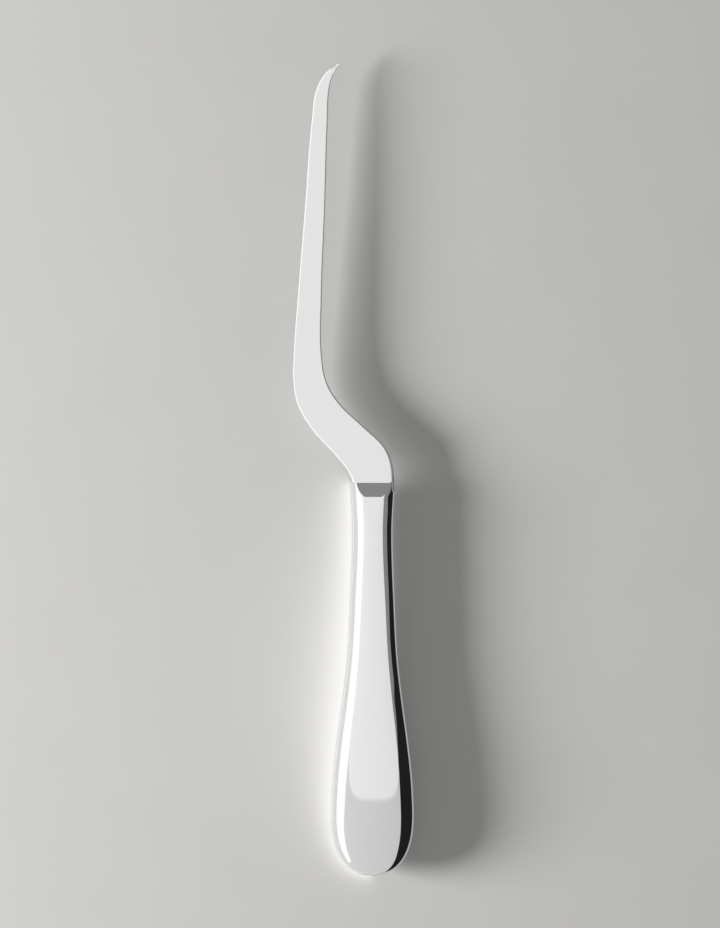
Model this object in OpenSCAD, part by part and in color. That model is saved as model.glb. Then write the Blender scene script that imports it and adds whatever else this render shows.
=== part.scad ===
// Soft-cheese knife with a cranked blade and a hollow handle, lying on its side.
// X runs across the knife with the cutting edge towards -X, Y runs towards the tip and Z is up.
// The origin lies under the middle of the knife, on the surface that the handle rests on.

/* [Blade] */
// Length of the blade, from the handle's mouth to the tip
blade_len = 110.7; // [90:0.5:130]
// Width of the blade at the heel, where the cutting part begins
blade_w = 7.65; // [6:0.05:10]
// How far the heel is set off from the handle's axis
crank_reach = 17.35; // [12:0.05:20]
// Thickness of the blade at the handle's mouth
blade_t = 2.0; // [1.8:0.1:2.6]
// Thickness of the blade at the tip
tip_t = 0.6; // [0.4:0.1:1.2]
// Width of the bevel ground along the cutting edge
bevel_w = 0.28; // [0.2:0.02:0.6]
// Width of the bevel where the neck meets the handle
neck_bevel_w = 0.5; // [0.3:0.02:0.9]
// Angle between the bevel and the flank
bevel_angle = 31; // [20:1:40]
// Width of the rounding at the cutting edge itself
edge_w = 0.12; // [0.05:0.01:0.3]
// Thickness left at the cutting edge
edge_t = 0.2; // [0.1:0.05:0.4]
// Radius of the rounding along the spine
spine_r = 0.5; // [0.2:0.05:0.7]
// Width of the spine's rounding where the neck meets the handle
neck_round_w = 1.5; // [0.8:0.1:1.8]
// Distance from the handle over which that rounding and that bevel narrow to the blade's
neck_round_len = 7; // [5:0.5:20]

/* [Tang] */
// Length of the tang inside the handle
tang_len = 46; // [30:1:60]
// Length of the tang's straight root, which passes through the handle's mouth
tang_root_len = 4; // [3:0.5:8]
// Width of the tang at its root
tang_w = 7.4; // [5:0.1:7.8]
// Width of the tang at its far end
tang_end_w = 4.8; // [3:0.1:5]
// Thickness of the tang
tang_t = 1.5; // [1.2:0.1:1.7]
// Radius of the notches that key the tang into the cement
notch_r = 0.8; // [0.4:0.1:1]
// Distance from one pair of notches to the next
notch_pitch = 9; // [6:0.5:10]

/* [Handle] */
// Length of the handle
handle_len = 104.3; // [90:0.5:120]
// Width of the handle's mouth, and of the blade's neck there
mouth_w = 11.2; // [10:0.1:13]
// Thickness of the handle's lip, which stands proud of the blade
lip_t = 2.9; // [2.8:0.1:3.4]
// Thickness that the rounded sides would meet at over the lip, were the shoulder not scooped out
crown_t = 5.0; // [4.4:0.1:6]
// Distance from the mouth over which the rounded sides grow to the neck's thickness
crown_len = 4; // [3:0.1:6]
// Length of the scooped shoulder that rises from the lip
shoulder_len = 3.8; // [3:0.1:5]
// Thickness at the shoulder's crest
crest_t = 5.3; // [4.8:0.05:5.6]
// Distance from the mouth to the waist
waist_at = 13.5; // [10:0.5:20]
// Width of the handle at its waist
waist_w = 10.25; // [9:0.05:12]
// Thickness of the slender part of the handle
neck_t = 6.0; // [5:0.1:8]
// Distance from the mouth to where the handle starts to thicken
swell_at = 40; // [30:1:60]
// Greatest width of the handle, near its end
butt_w = 21.5; // [16:0.1:26]
// Greatest thickness of the handle
butt_t = 8.0; // [7:0.1:12]
// Length of the rounded end
butt_len = 16.3; // [10:0.1:24]

/* [Shells and filling] */
// Wall of the stamped half shells
wall = 0.8; // [0.5:0.05:1]
// Thickness of the wall that closes the mouth
mouth_wall = 1.2; // [0.8:0.1:2]
// Height of the brazed seam between the two shells
seam_t = 0.2; // [0.1:0.05:0.4]
// Gap round the tang in the mouth's slot, which the braze fills
slot_gap = 0.15; // [0.1:0.05:0.2]
// Gap between the cement and the shells
filling_gap = 0.05; // [0.03:0.01:0.1]

/* [Hidden] */

// Stations along the blade, chosen by hand. Each row holds the share of blade_len from the mouth, the
// share of crank_reach that the middle line is set off, and the shares of mouth_w and blade_w in the width
blade_shares = [
    [0, 0, 1, 0],
    [0.05, 0.088, 1.05, 0],
    [0.10, 0.37, 0.86, 0.143],
    [0.15, 0.685, 0.7, 0.306],
    [0.20, 0.896, 0.53, 0.479],
    [0.25, 0.982, 0.24, 0.766],
    [0.30, 1, 0, 1],
    [0.45, 0.967, 0, 0.84],
    [0.65, 0.891, 0, 0.715],
    [0.87, 0.814, 0, 0.555],
    [0.93, 0.78, 0, 0.473],
    [0.965, 0.708, 0, 0.331],
    [0.985, 0.622, 0, 0.2],
    [1, 0.523, 0, 0.048]
];
// The shares of blade_len where the crank ends and where the curve to the tip begins
heel_share = 0.30;
belly_share = 0.87;
// Rows of points along the crank, the straight part and the tip
crank_rows = 24;
straight_rows = 12;
tip_rows = 16;
// The largest share of the blade's width that each of its edges may take, and of its half thickness
edge_width_share = 0.3;
edge_depth_share = 0.85;
// The bevel is a little convex: a point partway along it, as shares of its width and of its depth
bevel_mid_share = 0.48;
bevel_mid_depth_share = 0.55;
// The same for the rounding at the edge
edge_mid_share = 0.3;
edge_mid_depth_share = 0.7;
// Steps round the spine's rounding
spine_steps = 4;

// How the handle widens from waist to butt: share of that length, share of the gain in width
swell_shares = [
    [0, 0], [0.24, 0.096], [0.45, 0.245], [0.59, 0.455], [0.735, 0.715], [0.876, 0.92], [1, 1]
];
// Power of the rounded end's outline, where 2 is an ellipse and more is fuller
butt_power = 2.35;
// Power of the cross-section along the grip, an ellipse, and of its top along the neck, a little leaner
grip_power = 2;
neck_power = 1.76;
// Power of the shoulder's scoop, where 1 is a straight chamfer
scoop_power = 1.3;
// Shares of neck_t: the rounding of the crest, the rounding of the creases at the scoop's sides, and how far
// the line from the crest to the waist ends above the neck, so that it has left the metal by then
crest_round_share = 0.042;
crease_share = 0.01;
clear_share = 0.02;
// Rows of points along the shoulder, from its crest to the waist, along the grip and the rounded end
shoulder_rows = 10;
neck_rows = 7;
grip_rows = 18;
butt_rows = 10;
// Steps round half a cross-section, outside and inside
outer_steps = 24;
inner_steps = 14;
// Pairs of notches in the tang, and how deep the tang's root runs into the neck
notch_pairs = 3;
tang_bury_share = 0.5;
// How far a cut runs past what it cuts
overrun = 1;
$fn = 32;

wide_at = handle_len - butt_len;
crest_round = neck_t * crest_round_share;
crease = neck_t * crease_share;
clear_t = neck_t * (1 + 2 * clear_share);
steel = "#d9dadb";

// Mixing and smoothing
function mix(a, b, t) = a + (b - a) * t;
function part_of(a, b, x) = max(0, min(1, (x - a) / (b - a)));
function ease(t) = t * t * (3 - 2 * t);
function ease_out(t) = t * (2 - t);
// The lower of two heights, rounded over where they come within r of each other
function lower_of(a, b, r) = let (near = max(0, r - abs(a - b)) / r) min(a, b) - near * near * r / 4;

// A smooth curve through one column of a table of stations, with its slope at each station.
// The curve starts level
function secant(p, i, c) = (p[i + 1][c] - p[i][c]) / (p[i + 1][0] - p[i][0]);
function gap(p, i) = p[i + 1][0] - p[i][0];
function inner_slope(p, i, c) =
    (secant(p, i - 1, c) * gap(p, i) + secant(p, i, c) * gap(p, i - 1)) / (gap(p, i - 1) + gap(p, i));
function slope_at(p, i, c) =
    i == 0 ? 0
    : i == len(p) - 1 ? 2 * secant(p, i - 1, c) - inner_slope(p, i - 1, c)
    : inner_slope(p, i, c);
function span_of(p, t, i = 0) = i == len(p) - 2 || t < p[i + 1][0] ? i : span_of(p, t, i + 1);
function curve(p, t, c) =
    let (i = span_of(p, t), h = gap(p, i), u = (t - p[i][0]) / h)
    mix(p[i][c], p[i + 1][c], ease(u))
    + h * u * (1 - u) * ((1 - u) * slope_at(p, i, c) - u * slope_at(p, i + 1, c));
function curve_slope(p, t, c) =
    let (i = span_of(p, t), h = gap(p, i), u = (t - p[i][0]) / h)
    6 * u * (1 - u) * secant(p, i, c)
    + (1 - u) * (1 - 3 * u) * slope_at(p, i, c)
    - u * (2 - 3 * u) * slope_at(p, i + 1, c);

// The blade's middle line, its width and its half thickness
function middle(t) = [-crank_reach * curve(blade_shares, t, 1), blade_len * t];
function along(t) = unit([-crank_reach * curve_slope(blade_shares, t, 1), blade_len]);
function unit(v) = v / norm(v);
function width_at(t) = mouth_w * curve(blade_shares, t, 2) + blade_w * curve(blade_shares, t, 3);
function half_thickness(y) = mix(blade_t, tip_t, y / blade_len) / 2;

// One cross-section of the blade, from the cutting edge over the upper flank to the spine and back below.
// Each point is the distance across from the middle line, and its height as a share of the half thickness.
// neck_share is 0 at the handle, where the bevel and the back's rounding are wide, and 1 past the neck
function blade_section(w, h, neck_share) =
    let (bevel = min(mix(neck_bevel_w, bevel_w, neck_share), w * edge_width_share),
         round_w = min(edge_w, w * edge_width_share / 2),
         edge = min(edge_t / 2, h * edge_depth_share / 2),
         low = h - min(bevel * tan(bevel_angle), (h - edge) * edge_depth_share),
         back_w = min(mix(neck_round_w, spine_r, neck_share), w * edge_width_share),
         back_t = min(mix(h, spine_r, neck_share), h) * edge_depth_share,
         upper = [
             [-w / 2, edge],
             [-w / 2 + round_w * edge_mid_share, mix(edge, low, edge_mid_depth_share)],
             [-w / 2 + round_w, low],
             [-w / 2 + round_w + bevel * bevel_mid_share, mix(low, h, bevel_mid_depth_share)],
             [-w / 2 + round_w + bevel, h],
             for (i = [0:spine_steps])
                 let (a = 90 * i / spine_steps)
                 [w / 2 - back_w + back_w * sin(a), h - back_t + back_t * cos(a)]
         ])
    [for (q = upper) [q[0], q[1] / h], for (i = [len(upper) - 1:-1:0]) [upper[i][0], -upper[i][1] / h]];

function blade_row(t) =
    let (m = middle(t), d = along(t), neck_share = ease(part_of(0, neck_round_len, m[1])))
    [for (q = blade_section(width_at(t), half_thickness(m[1]), neck_share))
        let (x = m[0] + d[1] * q[0], y = m[1] - d[0] * q[0]) [x, y, half_thickness(y) * q[1]]];

blade_stations = [
    for (i = [0:crank_rows - 1]) mix(0, heel_share, i / crank_rows),
    for (i = [0:straight_rows - 1]) mix(heel_share, belly_share, i / straight_rows),
    for (i = [0:tip_rows]) mix(belly_share, 1, sin(90 * i / tip_rows))
];
blade_rings = [for (t = blade_stations) blade_row(t)];

// The handle's half width and half thickness at a distance s behind the mouth. An inset gives the cavity
function end_share(s, inset) =
    pow(1 - pow(part_of(wide_at, handle_len - inset, s), butt_power), 1 / butt_power);
function mouth_half(s) = mix(mouth_w, waist_w, ease(s / waist_at)) / 2;
function grip_half(s) = mix(waist_w, butt_w, curve(swell_shares, part_of(waist_at, wide_at, s), 1)) / 2;
function half_w(s, inset = 0) =
    ((s < waist_at ? mouth_half(s) : grip_half(s)) - inset) * end_share(s, inset);
function half_t(s, inset = 0) =
    (mix(crown_t, neck_t, ease_out(part_of(0, crown_len, s))) / 2
        + (butt_t - neck_t) / 2 * ease(part_of(swell_at, wide_at, s)) - inset)
    * end_share(s, inset);
function top_power(s) = mix(neck_power, grip_power, ease(part_of(waist_at, swell_at, s)));

// The shoulder's line: it scoops up from the lip to the crest, and rises gently from there to the waist.
// Ahead of the waist the cross-section is cut off flat at its height
function scoop(s) = mix(lip_t, crest_t, pow(s / shoulder_len, scoop_power)) / 2;
function crest_line(s) = mix(crest_t, clear_t, part_of(shoulder_len, waist_at, s)) / 2;
function cut_off(s, z, inset) =
    s >= waist_at ? z : max(0, lower_of(z, lower_of(scoop(s), crest_line(s), crest_round) - inset, crease));

// Half a cross-section of the handle above the seam, from right to left, as a row of points
function half_ring(s, inset, steps) =
    let (w = half_w(s, inset), h = max(0, half_t(s, inset) - seam_t / 2))
    [for (i = [0:steps])
        let (a = 180 * i / steps, x = w * sign(cos(a)) * pow(abs(cos(a)), 2 / grip_power))
        [x, -s, cut_off(s, seam_t / 2 + h * pow(sin(a), 2 / top_power(s)), inset)]];
function handle_rows(from, inset) = [
    for (i = [0:shoulder_rows - 1]) mix(from, shoulder_len, i / shoulder_rows),
    for (i = [0:neck_rows - 1]) mix(shoulder_len, waist_at, i / neck_rows),
    for (i = [0:grip_rows - 1]) mix(waist_at, wide_at, i / grip_rows),
    for (i = [0:butt_rows]) wide_at + (butt_len - inset) * pow(sin(90 * i / butt_rows), 2 / butt_power)
];
outer_rows = handle_rows(0, 0);
cavity_rows = handle_rows(mouth_wall, wall);
filling_rows = handle_rows(mouth_wall + filling_gap, wall + filling_gap);

// Faces that join each ring of points to the next, round a closed ring of n points
function skin(n, rows) = [
    for (r = [0:rows - 2], i = [0:n - 1])
        let (a = r * n + i, b = r * n + (i + 1) % n) each [[a, a + n, b + n], [a, b + n, b]]
];
function loop(first, n) = [for (i = [0:n - 1]) first + i];
function flat_list(rings) = [for (ring = rings) each ring];
function reversed(list) = [for (i = [len(list) - 1:-1:0]) list[i]];

// The knife is drawn about the mouth's centre, then set with the middle of its outline over the origin
blade_points = flat_list(blade_rings);
mid_x = (min([for (p = blade_points) p[0]]) + butt_w / 2) / 2;
mid_y = (max([for (p = blade_points) p[1]]) - handle_len) / 2;
module in_place() {
    translate([-mid_x, -mid_y, butt_t / 2]) children();
}

// The tang's outline, from inside the neck back into the handle, with the notches in its sides
module tang_outline() {
    end_r = tang_end_w / 2;
    bury = tang_root_len * tang_bury_share;
    difference() {
        union() {
            polygon([
                [-tang_w / 2, bury], [-tang_w / 2, -tang_root_len], [-end_r, end_r - tang_len],
                [end_r, end_r - tang_len], [tang_w / 2, -tang_root_len], [tang_w / 2, bury]
            ]);
            translate([0, end_r - tang_len]) circle(r = end_r);
        }
        for (i = [1:notch_pairs], side = [-1, 1]) {
            y = tang_root_len + i * notch_pitch;
            half = mix(tang_w, tang_end_w, part_of(tang_root_len, tang_len - end_r, y)) / 2;
            translate([side * half, -y]) circle(r = notch_r);
        }
    }
}

// The tang itself, level with the middle of the knife
module tang() {
    linear_extrude(tang_t, center = true) tang_outline();
}

// The ground blade with its neck, a skin over the rings of points
module blade_body() {
    n = len(blade_rings[0]);
    rows = len(blade_rings);
    polyhedron(
        points = blade_points,
        faces = concat([loop(0, n)], skin(n, rows), [reversed(loop((rows - 1) * n, n))])
    );
}

// Blade, neck and tang, one piece of steel
module blade() {
    color(steel) in_place() union() {
        blade_body();
        tang();
    }
}

// The slot that lets the tang through the closed mouth, with room for the braze
module mouth_slot(depth) {
    translate([-tang_w / 2 - slot_gap, -depth, -tang_t / 2 - slot_gap])
        cube([tang_w + 2 * slot_gap, depth + overrun, tang_t + 2 * slot_gap]);
}

// The upper half shell: outer and inner skins, the rim along the seam and the closed mouth
module half_shell() {
    rows = len(outer_rows);
    m = outer_steps + 1;
    n = m + inner_steps + 1;
    rings = [for (i = [0:rows - 1]) concat(
        half_ring(outer_rows[i], 0, outer_steps),
        reversed(half_ring(cavity_rows[i], wall, inner_steps))
    )];
    difference() {
        polyhedron(
            points = flat_list(rings),
            faces = concat(
                [loop(0, m), loop(m, n - m), [m - 1, m, n - 1, 0]],
                skin(n, rows)
            )
        );
        mouth_slot(mouth_wall + overrun);
    }
}

module handle_shell_upper() {
    color(steel) in_place() half_shell();
}

module handle_shell_lower() {
    color(steel) in_place() mirror([0, 0, 1]) half_shell();
}

// The handle's outline at the seam, or the cavity's with an inset
module seam_outline(rows, inset) {
    polygon(concat(
        [for (s = rows) [half_w(s, inset), -s]],
        [for (s = reversed(rows)) [-half_w(s, inset), -s]]
    ));
}

// The brazed seam, as wide as the shells' rims
module seam_braze() {
    color("#c9c6bd") in_place() difference() {
        linear_extrude(seam_t, center = true) difference() {
            seam_outline(outer_rows, 0);
            seam_outline(cavity_rows, wall);
        }
        mouth_slot(mouth_wall + overrun);
    }
}

// The braze collar that fills the slot round the tang
module tang_braze() {
    color("#c9c6bd") in_place() difference() {
        translate([-tang_w / 2 - slot_gap, -mouth_wall, -tang_t / 2 - slot_gap])
            cube([tang_w + 2 * slot_gap, mouth_wall, tang_t + 2 * slot_gap]);
        translate([-tang_w / 2, -mouth_wall - overrun, -tang_t / 2])
            cube([tang_w, mouth_wall + 2 * overrun, tang_t]);
    }
}

// The cement that fills the handle, cast round the tang
module handle_filling() {
    rows = len(filling_rows);
    n = 2 * (inner_steps + 1);
    rings = [for (s = filling_rows)
        let (upper = half_ring(s, wall + filling_gap, inner_steps))
        concat(upper, [for (p = reversed(upper)) [p[0], p[1], -p[2]]])];
    color("#b8b2a6") in_place() difference() {
        polyhedron(
            points = flat_list(rings),
            faces = concat([loop(0, n)], skin(n, rows))
        );
        tang();
    }
}

blade();
handle_shell_upper();
handle_shell_lower();
seam_braze();
tang_braze();
handle_filling();
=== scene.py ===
"""Dresses a cranked soft-cheese knife of polished steel and lays it in a small studio.

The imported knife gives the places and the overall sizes. The pieces that show are lofted again, much finer,
from the same few dimensions. Lengths are in metres, +Y runs towards the tip and +Z is up.
"""

import math

import bmesh
import bpy
from bpy.props import FloatProperty, FloatVectorProperty, PointerProperty
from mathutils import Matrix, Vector


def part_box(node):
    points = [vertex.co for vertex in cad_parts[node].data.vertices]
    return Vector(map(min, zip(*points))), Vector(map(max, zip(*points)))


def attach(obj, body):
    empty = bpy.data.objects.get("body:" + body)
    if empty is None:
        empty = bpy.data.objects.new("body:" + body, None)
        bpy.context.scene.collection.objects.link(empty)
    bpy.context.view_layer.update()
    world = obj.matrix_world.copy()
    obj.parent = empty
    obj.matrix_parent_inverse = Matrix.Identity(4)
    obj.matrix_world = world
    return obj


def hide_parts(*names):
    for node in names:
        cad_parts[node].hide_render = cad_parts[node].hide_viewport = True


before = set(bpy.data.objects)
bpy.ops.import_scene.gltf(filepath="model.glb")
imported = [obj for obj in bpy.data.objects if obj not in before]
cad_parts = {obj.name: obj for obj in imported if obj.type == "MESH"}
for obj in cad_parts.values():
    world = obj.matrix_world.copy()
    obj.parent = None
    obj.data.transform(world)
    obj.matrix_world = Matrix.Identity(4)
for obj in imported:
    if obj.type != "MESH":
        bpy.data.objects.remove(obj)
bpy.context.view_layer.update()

bl_info = {
    "name": "Cranked Cheese Knife",
    "version": (1, 0, 0),
    "blender": (4, 5, 0),
    "location": "View3D > Sidebar > Cheese Knife",
    "description": "Builds a soft-cheese knife with a cranked blade and a hollow handle, and its studio",
    "category": "Add Mesh",
}

MM = 0.001

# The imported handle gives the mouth, where the blade's length and the handle's length are counted from
HANDLE_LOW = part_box("handle_shell_lower")[0]
HANDLE_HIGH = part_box("handle_shell_upper")[1]
MOUTH = Vector(((HANDLE_LOW.x + HANDLE_HIGH.x) / 2, HANDLE_HIGH.y, (HANDLE_LOW.z + HANDLE_HIGH.z) / 2))

# Stations along the blade. Each row holds the share of the blade's length from the mouth, the share of the
# crank's reach that the middle line is set off, and the shares of the mouth's and heel's widths in its width
BLADE_STATIONS = [
    (0, 0, 1, 0),
    (0.05, 0.088, 1.05, 0),
    (0.10, 0.37, 0.86, 0.143),
    (0.15, 0.685, 0.7, 0.306),
    (0.20, 0.896, 0.53, 0.479),
    (0.25, 0.982, 0.24, 0.766),
    (0.30, 1, 0, 1),
    (0.45, 0.967, 0, 0.84),
    (0.65, 0.891, 0, 0.715),
    (0.87, 0.814, 0, 0.555),
    (0.93, 0.78, 0, 0.473),
    (0.965, 0.708, 0, 0.331),
    (0.985, 0.622, 0, 0.2),
    (1, 0.523, 0, 0.048),
]
# Where the crank ends and where the tip's curve begins, as shares of the blade's length, and the rows of each
# stretch
HEEL_SHARE = 0.30
BELLY_SHARE = 0.87
CRANK_ROWS = 96
STRAIGHT_ROWS = 36
TIP_ROWS = 48
# The largest share of the blade's width, and of its half thickness, that its edge and spine may take
EDGE_WIDTH_SHARE = 0.3
EDGE_DEPTH_SHARE = 0.85
# The bevel from its lower side to the flank, a little convex, as shares of its width and of its depth
BEVEL_SHARES = [(0, 0), (0.48, 0.55), (1, 1)]
# Steps round the edge and round the spine
EDGE_STEPS = 5
SPINE_STEPS = 10
# Extra lines of points at both sides of the flank keep its shading flat, this share of its width from them
HOLD_SHARE = 0.03

# How the handle widens from waist to butt: share of that length, share of the gain in width
SWELL_STATIONS = [
    (0, 0), (0.24, 0.096), (0.45, 0.245), (0.59, 0.455), (0.735, 0.715), (0.876, 0.92), (1, 1)
]
# Power of the rounded end's outline, where 2 is an ellipse
BUTT_POWER = 2.35
# Powers of the cross-section, where 2 is an ellipse: along the grip, and of its top along the neck
GRIP_POWER = 2
NECK_POWER = 1.76
# Power of the scooped shoulder, where 1 is a straight chamfer
SCOOP_POWER = 1.3
# Shares of the neck's thickness: the rounding of the shoulder's crest, the rounding of the creases beside the
# scoop, and how far the line from the crest to the waist ends above the neck
CREST_ROUND_SHARE = 0.042
CREASE_SHARE = 0.01
CLEAR_SHARE = 0.02
# Rows along each stretch of the handle, and steps round half its outside and half its cavity
SHOULDER_ROWS = 48
NECK_ROWS = 32
GRIP_ROWS = 80
BUTT_ROWS = 40
OUTER_STEPS = 96
INNER_STEPS = 24
# The tang's pairs of notches, and steps round a notch and a quarter of its far end
NOTCH_PAIRS = 3
ARC_STEPS = 12
# How far the tang reaches into the blade's neck, as a share of its root's length
TANG_BURY_SHARE = 0.5
# How far the tang's slot is cut past the mouth's wall
OVERRUN = 1 * MM
# Faces that meet at a wider angle than this keep a crisp edge between them
CRISP_ANGLE = math.radians(35)
MERGE_DISTANCE = 0.0001 * MM


def linear(hex_colour):
    """An sRGB hex colour as linear red, green and blue."""
    parts = [int(hex_colour[i:i + 2], 16) / 255 for i in (1, 3, 5)]
    return [c / 12.92 if c <= 0.04045 else ((c + 0.055) / 1.055) ** 2.4 for c in parts]


def length(name, description, default):
    """A length that the user may change."""
    return FloatProperty(name=name, description=description, default=default, min=0, unit="LENGTH")


def angle(name, description, degrees):
    """An angle that the user may change."""
    return FloatProperty(
        name=name, description=description, default=math.radians(degrees), min=0, subtype="ANGLE"
    )


def colour(name, description, hex_colour):
    """A colour that the user may change."""
    return FloatVectorProperty(
        name=name, description=description, default=linear(hex_colour), min=0, max=1, subtype="COLOR"
    )


class BladeSizes(bpy.types.PropertyGroup):
    """Sizes of the blade and of the tang inside the handle"""

    length: length("Length", "From the handle's mouth to the tip", 110.7 * MM)
    width: length("Heel width", "Width where the cutting part begins", 7.65 * MM)
    reach: length("Crank reach", "How far the heel is set off from the handle's axis", 17.35 * MM)
    thickness: length("Thickness", "Thickness at the handle's mouth", 2.0 * MM)
    tip_thickness: length("Tip thickness", "Thickness at the tip", 0.6 * MM)
    bevel: length("Bevel width", "Width of the bevel along the cutting edge", 0.28 * MM)
    neck_bevel: length("Neck bevel width", "Width of the bevel at the handle", 0.5 * MM)
    bevel_angle: angle("Bevel angle", "Angle between the bevel and the flank", 31)
    edge_width: length("Edge rounding", "Width of the rounding at the cutting edge", 0.12 * MM)
    edge: length("Edge thickness", "Thickness left at the cutting edge", 0.2 * MM)
    spine_radius: length("Spine radius", "Radius of the rounding along the spine", 0.5 * MM)
    neck_round: length("Neck rounding", "Width of the spine's rounding at the handle", 1.5 * MM)
    neck_round_length: length("Neck length", "Length over which the rounding and bevel narrow", 7 * MM)
    tang_length: length("Tang length", "Length of the tang inside the handle", 46 * MM)
    tang_root: length("Tang root", "Length of the tang's straight root", 4 * MM)
    tang_width: length("Tang width", "Width of the tang at its root", 7.4 * MM)
    tang_end_width: length("Tang end width", "Width of the tang at its far end", 4.8 * MM)
    tang_thickness: length("Tang thickness", "Thickness of the tang", 1.5 * MM)
    notch_radius: length("Notch radius", "Radius of the notches in the tang's sides", 0.8 * MM)
    notch_pitch: length("Notch pitch", "Distance from one pair of notches to the next", 9 * MM)


class HandleSizes(bpy.types.PropertyGroup):
    """Sizes of the hollow handle"""

    length: length("Length", "From the mouth to the rounded end", HANDLE_HIGH.y - HANDLE_LOW.y)
    mouth_width: length("Mouth width", "Width of the mouth and of the blade's neck", 11.2 * MM)
    lip: length("Lip thickness", "Thickness of the lip round the blade", 2.9 * MM)
    crown: length("Crown thickness", "Thickness that the sides would meet at over the lip", 5.0 * MM)
    crown_length: length("Crown length", "Distance over which the sides grow to the neck's", 4 * MM)
    shoulder: length("Shoulder length", "Length of the scooped rise from the lip", 3.8 * MM)
    crest: length("Crest thickness", "Thickness at the shoulder's crest", 5.3 * MM)
    waist_at: length("Waist distance", "Distance from the mouth to the waist", 13.5 * MM)
    waist_width: length("Waist width", "Width at the waist", 10.25 * MM)
    neck: length("Neck thickness", "Thickness of the slender part", 6.0 * MM)
    swell_at: length("Swell distance", "Distance from the mouth to where it thickens", 40 * MM)
    width: length("Greatest width", "Width near the rounded end", HANDLE_HIGH.x - HANDLE_LOW.x)
    thickness: length("Greatest thickness", "Thickness near the end", HANDLE_HIGH.z - HANDLE_LOW.z)
    butt: length("End length", "Length of the rounded end", 16.3 * MM)
    wall: length("Wall", "Wall of the stamped half shells", 0.8 * MM)
    mouth_wall: length("Mouth wall", "Thickness of the wall that closes the mouth", 1.2 * MM)
    seam: length("Seam height", "Height of the brazed seam between the shells", 0.2 * MM)
    slot_gap: length("Slot gap", "Gap round the tang in the mouth's slot", 0.15 * MM)


class KnifeFinish(bpy.types.PropertyGroup):
    """Colours of the knife's metals and of its filling"""

    steel: colour("Steel", "Mirror-polished stainless steel", "#dbdbdb")
    braze: colour("Braze", "Silver braze in the seam and round the tang", "#d2cdc2")
    cement: colour("Cement", "Cast cement inside the handle", "#b8b2a6")


class StudioLook(bpy.types.PropertyGroup):
    """Tones of the studio. A card's tone is the one that shows in the steel"""

    floor: colour("Floor", "Pale matt floor", "#d2d1ce")
    ambient_left: colour("Ambient, left", "Soft light on the floor from the left", "#ababab")
    ambient_right: colour("Ambient, right", "Soft light on the floor from the right", "#7e7e7f")
    backdrop: colour("Backdrop", "What the camera sees past the floor", "#d0d0ce")
    softbox_left: colour("Softbox, left", "Left end of the softbox overhead", "#ebebeb")
    softbox_right: colour("Softbox, right", "Right end of the softbox overhead", "#dbdbdb")
    panel: colour("White panel", "Panel to the left of the knife", "#ffffff")
    front_board: colour("Front board", "Grey board past the tip", "#848484")
    right_board: colour("Right board", "Grey board to the right", "#7f7f7f")
    # The flag's tone also paints the black strip on the floor: a painted dark reflection in the handle's
    # right rim
    flag: colour("Black flag", "Flag close to the right of the knife", "#1d1d1d")
    # The strips' tones are painted reflections: the tones that the handle's rims show of the floor beside it
    left_strip: colour("Left strip", "Strip on the floor that the handle's left rim shows", "#d8d8d8")
    right_strip: colour("Right strip", "Strip on the floor that the handle's right rim shows", "#a8a8a8")
    room_left: colour("Room, left", "The rest of the room, to the left", "#d3d3d3")
    room_right: colour("Room, right", "The rest of the room, to the right", "#c0c0c0")
    key_power: FloatProperty(
        name="Key power", description="Power of the key light", default=37.2, unit="POWER"
    )
    key_height: angle("Key height", "Height of the key light above the horizon", 12.25)
    key_turn: angle("Key turn", "How far the key light stands round towards the butt", 6)
    key_width: length("Key width", "Width of the key light", 0.55)
    key_tallness: length("Key tallness", "Height of the key light itself", 0.27)
    glow: FloatProperty(
        name="Glow", description="Light that the handle's left side throws on the floor", default=1.7
    )


def mix(a, b, t):
    """The value a share t of the way from a to b."""
    return a + (b - a) * t


def part_of(a, b, x):
    """How far x lies from a to b, as a share from 0 to 1."""
    return max(0, min(1, (x - a) / (b - a)))


def ease(t):
    """A share that starts and ends level."""
    return t * t * (3 - 2 * t)


def lower_of(a, b, rounding):
    """The lower of two heights, rounded over where they come this close to each other."""
    near = max(0, rounding - abs(a - b)) / rounding
    return min(a, b) - near * near * rounding / 4


def secant(table, i, column):
    """The straight slope between two stations."""
    return (table[i + 1][column] - table[i][column]) / (table[i + 1][0] - table[i][0])


def slope_at(table, i, column):
    """The curve's slope at a station. It starts level."""
    if i == 0:
        return 0
    if i == len(table) - 1:
        return 2 * secant(table, i - 1, column) - slope_at(table, i - 1, column)
    before = table[i][0] - table[i - 1][0]
    after = table[i + 1][0] - table[i][0]
    return (secant(table, i - 1, column) * after + secant(table, i, column) * before) / (before + after)


def curve(table, t, column):
    """Height and slope of the smooth curve through one column of a table of stations."""
    i = max(k for k in range(len(table) - 1) if k == 0 or t >= table[k][0])
    gap = table[i + 1][0] - table[i][0]
    u = (t - table[i][0]) / gap
    first = slope_at(table, i, column)
    last = slope_at(table, i + 1, column)
    height = mix(table[i][column], table[i + 1][column], ease(u)) + gap * u * (1 - u) * (
        (1 - u) * first - u * last
    )
    slope = (
        6 * u * (1 - u) * secant(table, i, column)
        + (1 - u) * (1 - 3 * u) * first
        - u * (2 - 3 * u) * last
    )
    return height, slope


def half_thickness(blade, y):
    """Half the blade's thickness at a distance from the mouth."""
    return mix(blade.thickness, blade.tip_thickness, y / blade.length) / 2


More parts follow.
